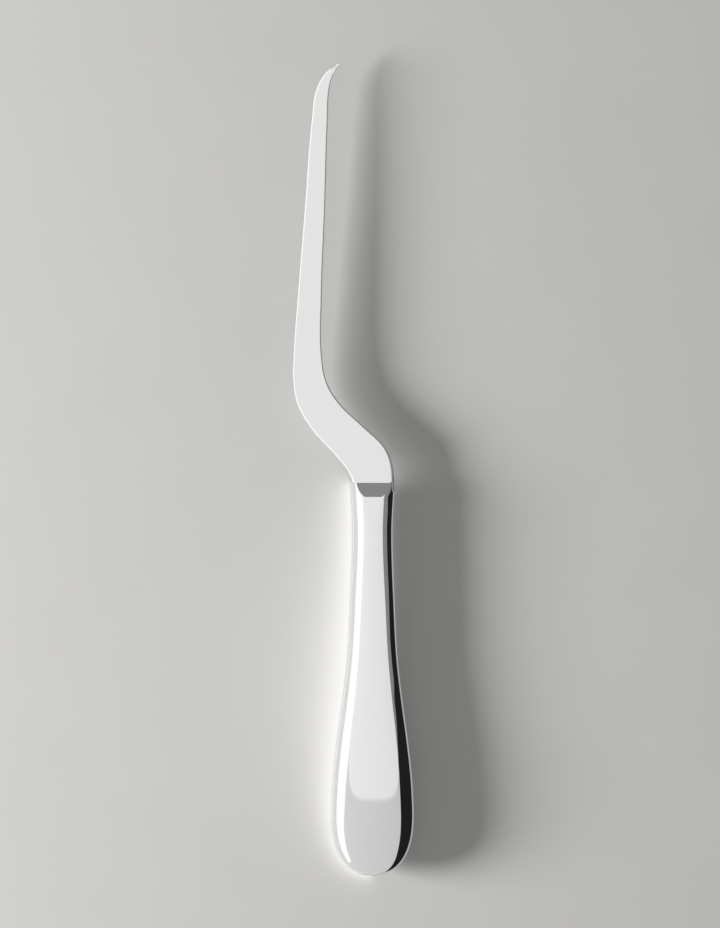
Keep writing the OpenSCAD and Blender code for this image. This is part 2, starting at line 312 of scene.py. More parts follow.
def blade_section(blade, width, half, neck_share):
    """One cross-section of the blade: distances across and heights, from the edge over the spine and back.
    The neck's share is 0 at the handle, where the bevel and the rounding are wide, and 1 past the neck."""
    bevel = min(mix(blade.neck_bevel, blade.bevel, neck_share), width * EDGE_WIDTH_SHARE)
    edge_width = min(blade.edge_width, width * EDGE_WIDTH_SHARE / 2)
    edge = min(blade.edge / 2, half * EDGE_DEPTH_SHARE / 2)
    low = half - min(bevel * math.tan(blade.bevel_angle), (half - edge) * EDGE_DEPTH_SHARE)
    back = min(mix(blade.neck_round, blade.spine_radius, neck_share), width * EDGE_WIDTH_SHARE)
    back_depth = min(mix(half, blade.spine_radius, neck_share), half) * EDGE_DEPTH_SHARE
    left = edge_width - width / 2
    right = width / 2 - back
    hold = HOLD_SHARE * width
    turns = [math.pi / 2 * i / EDGE_STEPS for i in range(EDGE_STEPS)]
    upper = [(left - edge_width * math.cos(a), mix(edge, low, math.sin(a))) for a in turns]
    upper += [(left + bevel * across, mix(low, half, up)) for across, up in BEVEL_SHARES]
    upper += [(left + bevel + hold, half), (right - hold, half)]
    turns = [math.pi / 2 * i / SPINE_STEPS for i in range(SPINE_STEPS + 1)]
    upper += [(right + back * math.sin(a), half - back_depth * (1 - math.cos(a))) for a in turns]
    return upper + [(q, -z) for q, z in reversed(upper)]


def blade_ring(blade, mouth_width, t):
    """The cross-section set square to the blade's middle line, a share t of the way to the tip."""
    off, slope = curve(BLADE_STATIONS, t, 1)
    along = Vector((-blade.reach * slope, blade.length)).normalized()
    x, y = -blade.reach * off, blade.length * t
    width = mouth_width * curve(BLADE_STATIONS, t, 2)[0] + blade.width * curve(BLADE_STATIONS, t, 3)[0]
    half = half_thickness(blade, y)
    neck_share = ease(part_of(0, blade.neck_round_length, y))
    ring = []
    for across, up in blade_section(blade, width, half, neck_share):
        at_y = y - along.x * across
        ring.append((x + along.y * across, at_y, half_thickness(blade, at_y) * up / half))
    return ring


def blade_stations():
    """Shares of the blade's length, close together along the crank and towards the tip."""
    crank = [mix(0, HEEL_SHARE, i / CRANK_ROWS) for i in range(CRANK_ROWS)]
    straight = [mix(HEEL_SHARE, BELLY_SHARE, i / STRAIGHT_ROWS) for i in range(STRAIGHT_ROWS)]
    tip = [mix(BELLY_SHARE, 1, math.sin(math.pi / 2 * i / TIP_ROWS)) for i in range(TIP_ROWS + 1)]
    return crank + straight + tip


def tang_side(blade):
    """The right side of the tang's outline, from inside the neck to the rounded end, with its notches."""
    end = blade.tang_end_width / 2
    far = blade.tang_length - end
    root = blade.tang_width / 2
    points = [(root, blade.tang_root * TANG_BURY_SHARE), (root, -blade.tang_root)]
    lean = math.atan2((blade.tang_width - blade.tang_end_width) / 2, far - blade.tang_root)
    for k in range(1, NOTCH_PAIRS + 1):
        y = blade.tang_root + k * blade.notch_pitch
        x = mix(blade.tang_width, blade.tang_end_width, part_of(blade.tang_root, far, y)) / 2
        for i in range(ARC_STEPS + 1):
            a = math.pi / 2 + math.pi * i / ARC_STEPS + lean
            points.append((x + blade.notch_radius * math.cos(a), blade.notch_radius * math.sin(a) - y))
    for i in range(ARC_STEPS + 1):
        a = math.pi / 2 * i / ARC_STEPS
        points.append((end * math.cos(a), -far - end * math.sin(a)))
    return points


def end_share(handle, s, inset):
    """How the handle's width and thickness shrink along its rounded end."""
    u = part_of(handle.length - handle.butt, handle.length - inset, s)
    return max(0, 1 - u ** BUTT_POWER) ** (1 / BUTT_POWER)


def half_width(handle, s, inset=0):
    """Half the handle's width at a distance behind the mouth. An inset gives the cavity."""
    if s < handle.waist_at:
        half = mix(handle.mouth_width, handle.waist_width, ease(s / handle.waist_at)) / 2
    else:
        t = part_of(handle.waist_at, handle.length - handle.butt, s)
        half = mix(handle.waist_width, handle.width, curve(SWELL_STATIONS, t, 1)[0]) / 2
    return (half - inset) * end_share(handle, s, inset)


def half_height(handle, s, inset=0):
    """Half the thickness at which the handle's rounded sides meet, at a distance behind the mouth."""
    rise = 1 - (1 - part_of(0, handle.crown_length, s)) ** 2
    swell = ease(part_of(handle.swell_at, handle.length - handle.butt, s))
    half = mix(handle.crown, handle.neck, rise) / 2 + (handle.thickness - handle.neck) / 2 * swell
    return (half - inset) * end_share(handle, s, inset)


def shoulder_line(handle, s):
    """The height of the flat cut ahead of the waist: a scoop up from the lip, then a gentle rise."""
    scoop = mix(handle.lip, handle.crest, (s / handle.shoulder) ** SCOOP_POWER) / 2
    clear = handle.neck * (1 + 2 * CLEAR_SHARE)
    rise = mix(handle.crest, clear, part_of(handle.shoulder, handle.waist_at, s)) / 2
    return lower_of(scoop, rise, handle.neck * CREST_ROUND_SHARE)


def half_ring(handle, s, inset, steps):
    """Half a cross-section of the handle above the seam, from right to left."""
    width = half_width(handle, s, inset)
    rise = max(0, half_height(handle, s, inset) - handle.seam / 2)
    top_power = mix(NECK_POWER, GRIP_POWER, ease(part_of(handle.waist_at, handle.swell_at, s)))
    ring = []
    for i in range(steps + 1):
        c = math.cos(math.pi * i / steps)
        up = max(0, math.sin(math.pi * i / steps))
        x = math.copysign(width * abs(c) ** (2 / GRIP_POWER), c)
        z = handle.seam / 2 + rise * up ** (2 / top_power)
        if s < handle.waist_at:
            z = max(0, lower_of(z, shoulder_line(handle, s) - inset, handle.neck * CREASE_SHARE))
        ring.append((x, -s, z))
    return ring


def handle_rows(handle, start, inset):
    """Distances behind the mouth, close together along the shoulder and round the end."""
    wide_at = handle.length - handle.butt
    rows = [mix(start, handle.shoulder, i / SHOULDER_ROWS) for i in range(SHOULDER_ROWS)]
    rows += [mix(handle.shoulder, handle.waist_at, i / NECK_ROWS) for i in range(NECK_ROWS)]
    rows += [mix(handle.waist_at, wide_at, i / GRIP_ROWS) for i in range(GRIP_ROWS)]
    turn = [math.sin(math.pi / 2 * i / BUTT_ROWS) ** (2 / BUTT_POWER) for i in range(BUTT_ROWS + 1)]
    return rows + [wide_at + (handle.butt - inset) * share for share in turn]


def skin(rows, n):
    """Faces that join each closed ring of n points to the next."""
    return [
        (r * n + i, r * n + (i + 1) % n, (r + 1) * n + (i + 1) % n, (r + 1) * n + i)
        for r in range(rows - 1) for i in range(n)
    ]


def placed(points, mirror=1):
    """Points about the mouth's centre, set in the knife's place. A mirror of -1 turns them upside down."""
    return [(MOUTH.x + x, MOUTH.y + y, MOUTH.z + mirror * z) for x, y, z in points]


def put(context, name, data):
    """Puts a mesh, a light or a camera in the scene, as an object."""
    made = bpy.data.objects.new(name, data)
    context.scene.collection.objects.link(made)
    return made


def add_object(context, name, points, faces, crisp_lines=()):
    """A smooth-shaded object of one closed mesh. Its edges are crisp where faces meet at a wide angle, and
    along the crisp lines, which are pairs of points."""
    mesh = bpy.data.meshes.new(name)
    mesh.from_pydata(points, [], faces)
    work = bmesh.new()
    work.from_mesh(mesh)
    work.verts.ensure_lookup_table()
    crisp = [work.edges.get((work.verts[a], work.verts[b])) for a, b in crisp_lines]
    for face in work.faces:
        face.smooth = True
    for edge in crisp:
        edge.smooth = False
    bmesh.ops.remove_doubles(work, verts=work.verts, dist=MERGE_DISTANCE)
    bmesh.ops.recalc_face_normals(work, faces=work.faces)
    for edge in work.edges:
        if edge.calc_face_angle(0) > CRISP_ANGLE:
            edge.smooth = False
    work.to_mesh(mesh)
    work.free()
    return put(context, name, mesh)


def add_prism(context, name, outline, low, high):
    """A closed solid of an outline, in X and Y, from one height to another."""
    n = len(outline)
    points = [(x, y, z) for z in (low, high) for x, y in outline]
    sides = [(i, (i + 1) % n, n + (i + 1) % n, n + i) for i in range(n)]
    return add_object(context, name, placed(points), [tuple(range(n)), tuple(range(n, 2 * n))] + sides)


def carve(context, target, tool, operation):
    """Joins a tool to the target or cuts it out, and removes the tool."""
    modifier = target.modifiers.new("Carve", "BOOLEAN")
    modifier.operation = operation
    modifier.solver = "EXACT"
    modifier.object = tool
    result = bpy.data.meshes.new_from_object(target.evaluated_get(context.evaluated_depsgraph_get()))
    target.modifiers.clear()
    old, target.data = target.data, result
    bpy.data.objects.remove(tool)
    bpy.data.meshes.remove(old)


def dress(made, material, slot, *nodes):
    """Gives a piece its material, and sets it on the knife in place of its CAD nodes."""
    made.data.materials.clear()
    made.data.materials.append(material)
    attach(made, "root")
    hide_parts(*nodes)


# Sockets that Blender tells apart by their place: the Mix node's for numbers and for colours, and the two
# shaders of a Mix Shader
NUMBER_A, NUMBER_B, NUMBER_OUT = 2, 3, 0
COLOUR_A, COLOUR_B, COLOUR_OUT = 6, 7, 2
SHADER_A, SHADER_B = 1, 2

# A noise stays mostly between these two values
NOISE_LOW = 0.3
NOISE_HIGH = 0.7

# The steel: the haze's share in the wear, what the wear does to the roughness at least and at most, how dark
# and how light the haze makes the colour, and the relief of the mop's lines
HAZE_SHARE = 0.4
LEAST_WEAR = 0.6
MOST_WEAR = 1.4
STEEL_DARK = 0.985
STEEL_LIGHT = 1.015
LINE_STRENGTH = 0.5
LINE_DEPTH = 0.0002 * MM

# The silver braze: the size of its grain, and its least and greatest roughness
BRAZE_NAME = "polished_silver_braze"
BRAZE_GRAIN = 0.4 * MM
BRAZE_SMOOTH = 0.06
BRAZE_ROUGH = 0.12

# The cement: the sizes of its sand and its clouds, the clouds' share in the speckle, its darkest tone, its
# relief and its roughness
SAND_SIZE = 0.3 * MM
CEMENT_CLOUD = 3 * MM
CLOUD_SHARE = 0.5
CEMENT_DARK = 0.75
CEMENT_STRENGTH = 0.6
CEMENT_DEPTH = 0.05 * MM
CEMENT_ROUGHNESS = 0.9


def rgba(rgb, share=1):
    """A linear colour made darker or lighter by a share, with full opacity."""
    return (*[c * share for c in rgb], 1)


def new_material(name):
    """A node material and its Principled shader."""
    material = bpy.data.materials.new(name)
    material.use_nodes = True
    shader = next(n for n in material.node_tree.nodes if n.type == "BSDF_PRINCIPLED")
    return material, shader


def empty_tree(owner):
    """The node tree of a material or a world, with nothing in it."""
    owner.use_nodes = True
    owner.node_tree.nodes.clear()
    return owner.node_tree


def feed(tree, node, inputs):
    """Sets a node's inputs. Each is a value, or the node and the output that feed it."""
    for name, value in inputs.items():
        if isinstance(value, tuple) and isinstance(value[0], bpy.types.Node):
            tree.links.new(value[0].outputs[value[1]], node.inputs[name])
        else:
            node.inputs[name].default_value = value


def add_node(tree, kind, inputs=None, **settings):
    """Adds a node with its settings, and feeds its inputs."""
    node = tree.nodes.new(kind)
    for name, value in settings.items():
        setattr(node, name, value)
    feed(tree, node, inputs or {})
    return node


def polished_stainless(name, steel, line_spacing, line_length, haze_size, roughness):
    """Mirror-polished 18/10 stainless steel. Its colour is a neutral grey, it reflects the studio sharply,
    and a mop's fine lines and a faint haze break up the gloss only close to."""
    material, shader = new_material(name)
    tree = material.node_tree
    place = add_node(tree, "ShaderNodeTexCoord")
    scale = (1 / line_spacing, 1 / line_length, 1 / line_spacing)
    stretched = add_node(tree, "ShaderNodeMapping", {"Vector": (place, "Object"), "Scale": scale})
    lines = add_node(tree, "ShaderNodeTexNoise", {"Vector": (stretched, "Vector"), "Scale": 1, "Detail": 3})
    haze = add_node(
        tree, "ShaderNodeTexNoise",
        {"Vector": (place, "Object"), "Scale": 1 / haze_size, "Detail": 2}
    )
    wear = add_node(
        tree, "ShaderNodeMix",
        {"Factor": HAZE_SHARE, NUMBER_A: (lines, "Fac"), NUMBER_B: (haze, "Fac")}
    )
    gloss = add_node(
        tree, "ShaderNodeMapRange",
        {
            "Value": (wear, NUMBER_OUT),
            "From Min": NOISE_LOW,
            "From Max": NOISE_HIGH,
            "To Min": roughness * LEAST_WEAR,
            "To Max": roughness * MOST_WEAR,
        }
    )
    tone = add_node(
        tree, "ShaderNodeMix",
        {"Factor": (haze, "Fac"), COLOUR_A: rgba(steel, STEEL_DARK), COLOUR_B: rgba(steel, STEEL_LIGHT)},
        data_type="RGBA"
    )
    # The lines are 0.2 micrometres deep at most: they show in a grazing highlight and never as a pattern
    relief = add_node(
        tree, "ShaderNodeBump",
        {"Height": (lines, "Fac"), "Strength": LINE_STRENGTH, "Distance": LINE_DEPTH}
    )
    feed(tree, shader, {
        "Metallic": 1,
        "Base Color": (tone, COLOUR_OUT),
        "Roughness": (gloss, "Result"),
        "Normal": (relief, "Normal"),
    })
    return material


def ground_blade_steel(finish):
    """Ground flat and polished along its length, so the lines run towards the tip. They are really 0.02 mm
    apart, and are drawn 0.15 mm apart so that they show close to."""
    return polished_stainless(
        "ground_polished_stainless", finish.steel,
        line_spacing=0.15 * MM, line_length=12 * MM, haze_size=20 * MM, roughness=0.035
    )


def buffed_handle_steel(finish):
    """Stamped and buffed on a soft mop, which leaves shorter lines and a slightly deeper gloss."""
    return polished_stainless(
        "buffed_stamped_stainless", finish.steel,
        line_spacing=0.2 * MM, line_length=4 * MM, haze_size=14 * MM, roughness=0.03
    )


def silver_braze(finish):
    """Silver braze filed flush and polished: a slightly warmer and softer sheen than the steel's."""
    material, shader = new_material(BRAZE_NAME)
    tree = material.node_tree
    place = add_node(tree, "ShaderNodeTexCoord")
    grain = add_node(
        tree, "ShaderNodeTexNoise",
        {"Vector": (place, "Object"), "Scale": 1 / BRAZE_GRAIN, "Detail": 3}
    )
    gloss = add_node(
        tree, "ShaderNodeMapRange",
        {
            "Value": (grain, "Fac"),
            "From Min": NOISE_LOW,
            "From Max": NOISE_HIGH,
            "To Min": BRAZE_SMOOTH,
            "To Max": BRAZE_ROUGH,
        }
    )
    feed(tree, shader, {"Metallic": 1, "Base Color": rgba(finish.braze), "Roughness": (gloss, "Result")})
    return material


def cast_cement(finish):
    """Mineral cement poured into the handle: matt, chalky and speckled with fine sand."""
    material, shader = new_material("cast_handle_cement")
    tree = material.node_tree
    place = add_node(tree, "ShaderNodeTexCoord")
    sand = add_node(tree, "ShaderNodeTexVoronoi", {"Vector": (place, "Object"), "Scale": 1 / SAND_SIZE})
    cloud = add_node(
        tree, "ShaderNodeTexNoise",
        {"Vector": (place, "Object"), "Scale": 1 / CEMENT_CLOUD, "Detail": 4}
    )
    speckle = add_node(
        tree, "ShaderNodeMix",
        {"Factor": CLOUD_SHARE, NUMBER_A: (sand, "Distance"), NUMBER_B: (cloud, "Fac")}
    )
    tone = add_node(
        tree, "ShaderNodeMix",
        {
            "Factor": (speckle, NUMBER_OUT),
            COLOUR_A: rgba(finish.cement, CEMENT_DARK),
            COLOUR_B: rgba(finish.cement),
        },
        data_type="RGBA"
    )
    relief = add_node(
        tree, "ShaderNodeBump",
        {"Height": (speckle, NUMBER_OUT), "Strength": CEMENT_STRENGTH, "Distance": CEMENT_DEPTH}
    )
    feed(tree, shader, {
        "Roughness": CEMENT_ROUGHNESS,
        "Base Color": (tone, COLOUR_OUT),
        "Normal": (relief, "Normal"),
    })
    return material


class KNIFE_OT_blade(bpy.types.Operator):
    """Add the cranked blade with its neck and tang, one piece of steel"""

    bl_idname = "cheese_knife.blade"
    bl_label = "Blade"

    def execute(self, context):
        blade, handle = context.scene.knife_blade, context.scene.knife_handle
        rings = [blade_ring(blade, handle.mouth_width, t) for t in blade_stations()]
        rows, n = len(rings), len(rings[0])
        ends = [tuple(range(n)), tuple(range((rows - 1) * n, rows * n))]
        # The cutting edge and both sides of the bevel stay crisp, above and below
        lines = (0, EDGE_STEPS, EDGE_STEPS + len(BEVEL_SHARES) - 1)
        crisp = [
            (r * n + i, (r + 1) * n + i) for r in range(rows - 1)
            for line in lines for i in (line, n - 1 - line)
        ]
        points = placed([p for ring in rings for p in ring])
        made = add_object(context, "polished_blade", points, ends + skin(rows, n), crisp)
        right = tang_side(blade)
        outline = right + [(-x, y) for x, y in reversed(right[:-1])]
        half = blade.tang_thickness / 2
        carve(context, made, add_prism(context, "tang", outline, -half, half), "UNION")
        dress(made, ground_blade_steel(context.scene.knife_finish), "blade_steel", "blade")
        return {"FINISHED"}


def mouth_slot(context, blade, handle):
    """A block the size of the slot that lets the tang through the mouth."""
    across = blade.tang_width / 2 + handle.slot_gap
    half = blade.tang_thickness / 2 + handle.slot_gap
    deep = -handle.mouth_wall - OVERRUN
    outline = [(-across, deep), (across, deep), (across, OVERRUN), (-across, OVERRUN)]
    return add_prism(context, "slot", outline, -half, half)


class KNIFE_OT_handle_shells(bpy.types.Operator):
    """Add the two stamped half shells of the hollow handle"""

    bl_idname = "cheese_knife.handle_shells"
    bl_label = "Handle Shells"

    def execute(self, context):
        blade, handle = context.scene.knife_blade, context.scene.knife_handle
        outside = handle_rows(handle, 0, 0)
        inside = handle_rows(handle, handle.mouth_wall, handle.wall)
        points = []
        for outer, inner in zip(outside, inside):
            points += half_ring(handle, outer, 0, OUTER_STEPS)
            points += reversed(half_ring(handle, inner, handle.wall, INNER_STEPS))
        m = OUTER_STEPS + 1
        n = m + INNER_STEPS + 1
        mouth = [tuple(range(m)), tuple(range(m, n)), (m - 1, m, n - 1, 0)]
        steel = buffed_handle_steel(context.scene.knife_finish)
        for side, mirror in (("upper", 1), ("lower", -1)):
            faces = mouth + skin(len(outside), n)
            made = add_object(context, "polished_shell_" + side, placed(points, mirror), faces)
            carve(context, made, mouth_slot(context, blade, handle), "DIFFERENCE")
            dress(made, steel, "handle_steel", "handle_shell_" + side)
        return {"FINISHED"}


class KNIFE_OT_seam(bpy.types.Operator):
    """Add the brazed seam between the half shells, polished flush"""

    bl_idname = "cheese_knife.seam"
    bl_label = "Brazed Seam"

    def execute(self, context):
        blade, handle = context.scene.knife_blade, context.scene.knife_handle
        slot = blade.tang_width / 2 + handle.slot_gap
        outer = [(slot, 0)] + [(half_width(handle, s), -s) for s in handle_rows(handle, 0, 0)]
        inner = [(slot, -handle.mouth_wall)]
        for s in handle_rows(handle, handle.mouth_wall, handle.wall):
            inner.append((half_width(handle, s, handle.wall), -s))
        outer += [(-x, y) for x, y in reversed(outer[:-1])]
        inner += [(-x, y) for x, y in reversed(inner[:-1])]
        half = handle.seam / 2
        points = []
        for (xo, yo), (xi, yi) in zip(outer, inner):
            points += [(xo, yo, half), (xo, yo, -half), (xi, yi, -half), (xi, yi, half)]
        rows = len(outer)
        last = 4 * (rows - 1)
        faces = [(0, 1, 2, 3), (last, last + 1, last + 2, last + 3)] + skin(rows, 4)
        made = add_object(context, "polished_seam", placed(points), faces)
        dress(made, silver_braze(context.scene.knife_finish), "braze", "seam_braze")
        return {"FINISHED"}


class KNIFE_OT_hidden_pieces(bpy.types.Operator):
    """Give the tang's braze and the cement inside the handle their own finishes"""

    bl_idname = "cheese_knife.hidden_pieces"
    bl_label = "Hidden Pieces"

    def execute(self, context):
        finish = context.scene.knife_finish
        braze = bpy.data.materials.get(BRAZE_NAME) or silver_braze(finish)
        for name, material in (("tang_braze", braze), ("handle_filling", cast_cement(finish))):
            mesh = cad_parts[name].data
            mesh.materials.clear()
            mesh.materials.append(material)
        return {"FINISHED"}


# The photograph's size and middle, and the middle of the handle's mouth, all in its pixels, and how much of
# the knife one pixel shows
PHOTO_SIZE = (720, 928)
PHOTO_MIDDLE = (PHOTO_SIZE[0] / 2, PHOTO_SIZE[1] / 2)
PHOTO_MOUTH = (373.15, 482)
PHOTO_SCALE = 0.265 * MM
# The camera's lens and sensor, in the millimetres that Blender counts them in, and how far it sees
LENS = 150
SENSOR = 36
CAMERA_REACH = 10

# The studio's cards stand where their edges show in the handle. Each is seen only in the steel. The outlines
# of standing cards are in Y and Z, but the front board's is in X and Z, and those of lying ones in X and Y
SOFTBOX_HEIGHT = 0.6
SOFTBOX_MIDDLE = (0.025, 0.0385)
SOFTBOX_HALF = (0.495, 0.1655)
# Where the softbox ends past the knife's tip, and where its corner there is cut off
SOFTBOX_FRONT = 0.205
SOFTBOX_CUT = (0.3, 0.03)
# Power of its rounded corners, where 2 is an ellipse, and the share of its size over which its rim fades
SOFTBOX_POWER = 3.6
SOFTBOX_STEPS = 48
SOFTBOX_BLUR_SHARE = 0.015
PANEL_X = -0.5
PANEL_OUTLINE = [
    (-0.65, 0.15), (0.85, 0.1), (0.85, 0.62), (0.218, 0.64), (0.19, 1.3), (0, 0.66), (-0.06, 0.66),
    (-0.2, 0.555), (-0.45, 0.5), (-0.65, 0.42),
]
RIGHT_BOARD_X = 0.5
RIGHT_BOARD_OUTLINE = [(-0.085, 0), (0.45, 0), (0.45, 1.3), (-0.085, 1.3)]
FRONT_BOARD_Y = 0.9
FRONT_BOARD_OUTLINE = [(-0.25, 0), (1.5, 0), (1.5, 3), (-0.25, 3)]
FLAG_X = 0.2
FLAG_OUTLINE = [
    (-0.65, 0), (0.012, 0), (-0.012, 0.118), (-0.016, 0.118), (-0.021, 0.099), (-0.03, 0.108),
    (-0.0465, 0.137), (-0.05, 0.173), (-0.0645, 0.212), (-0.075, 0.238), (-0.09, 0.25), (-0.13, 0.246),
    (-0.194, 0.233), (-0.244, 0.219), (-0.324, 0.18), (-0.65, 0.05),
]
# Three strips lie on the floor and show only in the steel. They are painted reflections of the floor beside
# the handle: pale to the left, grey beside the handle, and black from there to the flag
STRIP_HEIGHT = 0.05 * MM
LEFT_STRIP = [
    (-0.45, 0.02), (-0.004, 0.02), (-0.004, -0.104), (0.02, -0.112), (0.02, -0.65), (-0.45, -0.65),
]
RIGHT_STRIP = [(0, -0.006), (0.02, -0.006), (0.035, -0.105), (0.035, -0.13), (0, -0.13)]
BLACK_STRIP = [(0.021, -0.006), (0.2, -0.006), (0.2, -0.65), (0.035, -0.65), (0.035, -0.105)]
KEY_DISTANCE = 1.2
# The room's tone changes from left to right between directions that lean this far to either side
ROOM_LEAN = 0.7
# The glowing band that stands along the handle's left side: its gap to the steel, how low it reaches, and its
# upper edge as stations along the handle
GLOW_GAP = 0.3 * MM
GLOW_LOW = 0.2 * MM
GLOW_TOPS = [(0, 6 * MM), (0.55, 11 * MM), (0.75, 7 * MM), (1, 2.5 * MM)]
# The floor: half its side, the lines of points across it, the size of its clouds, and its darkest and its
# lightest tone
FLOOR_HALF = 4
FLOOR_LINES = 5
PLASTER_CLOUD = 25 * MM
PLASTER_DARK = 0.97
PLASTER_LIGHT = 1.02
# The name of the attribute that a card fades out by
BLUR = "blur"


def pale_floor(look):
    """Smooth matt plaster, rolled on by hand: plain and pale, with barely visible clouds and no sheen."""
    material, shader = new_material("pale_matt_plaster")
    tree = material.node_tree
    place = add_node(tree, "ShaderNodeTexCoord")
    cloud = add_node(
        tree, "ShaderNodeTexNoise",
        {"Vector": (place, "Object"), "Scale": 1 / PLASTER_CLOUD, "Detail": 4}
    )
    tone = add_node(
        tree, "ShaderNodeMix",
        {
            "Factor": (cloud, "Fac"),
            COLOUR_A: rgba(look.floor, PLASTER_DARK),
            COLOUR_B: rgba(look.floor, PLASTER_LIGHT),
        },
        data_type="RGBA"
    )
    feed(tree, shader, {"Roughness": 1, "Specular IOR Level": 0, "Base Color": (tone, COLOUR_OUT)})
    return material


def glowing(name, reflectance, left, right=None):
    """A lit card. Its glow is the tone that is wanted in the steel, over the steel's own reflectance. A
    second tone makes it change from left to right over the softbox's width."""
    material = bpy.data.materials.new(name)
    tree = empty_tree(material)
    half = SOFTBOX_HALF[0]
    place = add_node(tree, "ShaderNodeTexCoord")
    apart = add_node(tree, "ShaderNodeSeparateXYZ", {"Vector": (place, "Object")})
    share = add_node(tree, "ShaderNodeMapRange", {"Value": (apart, "X"), "From Min": -half, "From Max": half})
    tone = add_node(
        tree, "ShaderNodeMix",
        {"Factor": (share, "Result"), COLOUR_A: rgba(left), COLOUR_B: rgba(left if right is None else right)},
        data_type="RGBA"
    )
    glow = add_node(tree, "ShaderNodeEmission", {"Color": (tone, COLOUR_OUT), "Strength": 1 / reflectance})
    clear = add_node(tree, "ShaderNodeBsdfTransparent")
    blur = add_node(tree, "ShaderNodeAttribute", attribute_name=BLUR)
    card = add_node(
        tree, "ShaderNodeMixShader",
        {"Fac": (blur, "Fac"), SHADER_A: (glow, "Emission"), SHADER_B: (clear, "BSDF")}
    )
    add_node(tree, "ShaderNodeOutputMaterial", {"Surface": (card, "Shader")})
    return material


def thrown_light(look):
    """The light that polished steel throws on the floor close beside it: white and even."""
    material = bpy.data.materials.new("thrown_light")
    tree = empty_tree(material)
    light = add_node(tree, "ShaderNodeEmission", {"Color": rgba((1, 1, 1)), "Strength": look.glow})
    add_node(tree, "ShaderNodeOutputMaterial", {"Surface": (light, "Emission")})
    return material


def stage_mesh(context, name, points, faces, material):
    """An object of the stage, of one mesh and one material."""
    mesh = bpy.data.meshes.new(name)
    mesh.from_pydata(points, [], faces)
    mesh.materials.append(material)
    return put(context, name, mesh)


def hide_from(made, *rays):
    """Hides an object from some kinds of rays."""
    for ray in rays:
        setattr(made, "visible_" + ray, False)


def add_card(context, name, corners, material, rim=()):
    """A flat card that shows in the steel only. It fades out from its corners to its rim, if it has one. It
    lights the floor only by what the steel throws there."""
    n = len(corners)
    faces = [tuple(range(n))] + skin(2 if rim else 1, n)
    card = stage_mesh(context, name, [*corners, *rim], faces, material)
    fade = card.data.attributes.new(BLUR, "FLOAT", "POINT")
    fade.data.foreach_set("value", [0] * n + [1] * len(rim))
    hide_from(card, "camera", "diffuse", "transmission", "volume_scatter", "shadow")


def softbox_outline(scale):
    """The softbox's outline: a square and a cut corner past the tip of the knife, and rounded ones behind."""
    middle_x, middle_y = SOFTBOX_MIDDLE
    half_x, half_y = SOFTBOX_HALF
    cut_x, cut_y = SOFTBOX_CUT
    front = (SOFTBOX_FRONT - middle_y) / half_y
    shares = [(-1, front), ((cut_x - middle_x) / half_x, front), (1, (cut_y - middle_y) / half_y)]
    for i in range(SOFTBOX_STEPS + 1):
        a = math.pi * i / SOFTBOX_STEPS
        x = math.copysign(abs(math.cos(a)) ** (2 / SOFTBOX_POWER), math.cos(a))
        shares.append((x, -max(0, math.sin(a)) ** (2 / SOFTBOX_POWER)))
    return [(middle_x + half_x * x * scale, middle_y + half_y * y * scale, SOFTBOX_HEIGHT) for x, y in shares]


def add_cards(context, look, reflectance):
    """The softbox overhead, the panel, boards and flag round the knife, and the strips on the floor, which
    paint the floor's reflection in the steel.
    """
    softbox = glowing("softbox_cloth", reflectance, look.softbox_left, look.softbox_right)
    panel = glowing("white_card", reflectance, look.panel)
    front = glowing("grey_card", reflectance, look.front_board)
    right = glowing("dark_grey_card", reflectance, look.right_board)
    # The black flag's glow also paints the black strip, a painted dark reflection of the floor to the right
    flag = glowing("black_flag_and_painted_dark_floor", reflectance, look.flag)
    # Painted reflections of the floor beside the handle, seen only in the steel
    pale = glowing("painted_pale_floor_reflection", reflectance, look.left_strip)
    grey = glowing("painted_grey_floor_reflection", reflectance, look.right_strip)
    inner, rim = (softbox_outline(1 + side * SOFTBOX_BLUR_SHARE) for side in (-1, 1))
    add_card(context, "softbox", inner, softbox, rim)
    add_card(context, "white_panel", [(PANEL_X, y, z) for y, z in PANEL_OUTLINE], panel)
    add_card(context, "right_board", [(RIGHT_BOARD_X, y, z) for y, z in RIGHT_BOARD_OUTLINE], right)
    add_card(context, "front_board", [(x, FRONT_BOARD_Y, z) for x, z in FRONT_BOARD_OUTLINE], front)
    add_card(context, "black_flag", [(FLAG_X, y, z) for y, z in FLAG_OUTLINE], flag)
    for name, outline, material in (
        ("left_strip", LEFT_STRIP, pale),
        ("right_strip", RIGHT_STRIP, grey),
        ("black_strip", BLACK_STRIP, flag),
    ):
        add_card(context, name, [(x, y, STRIP_HEIGHT) for x, y in outline], material)


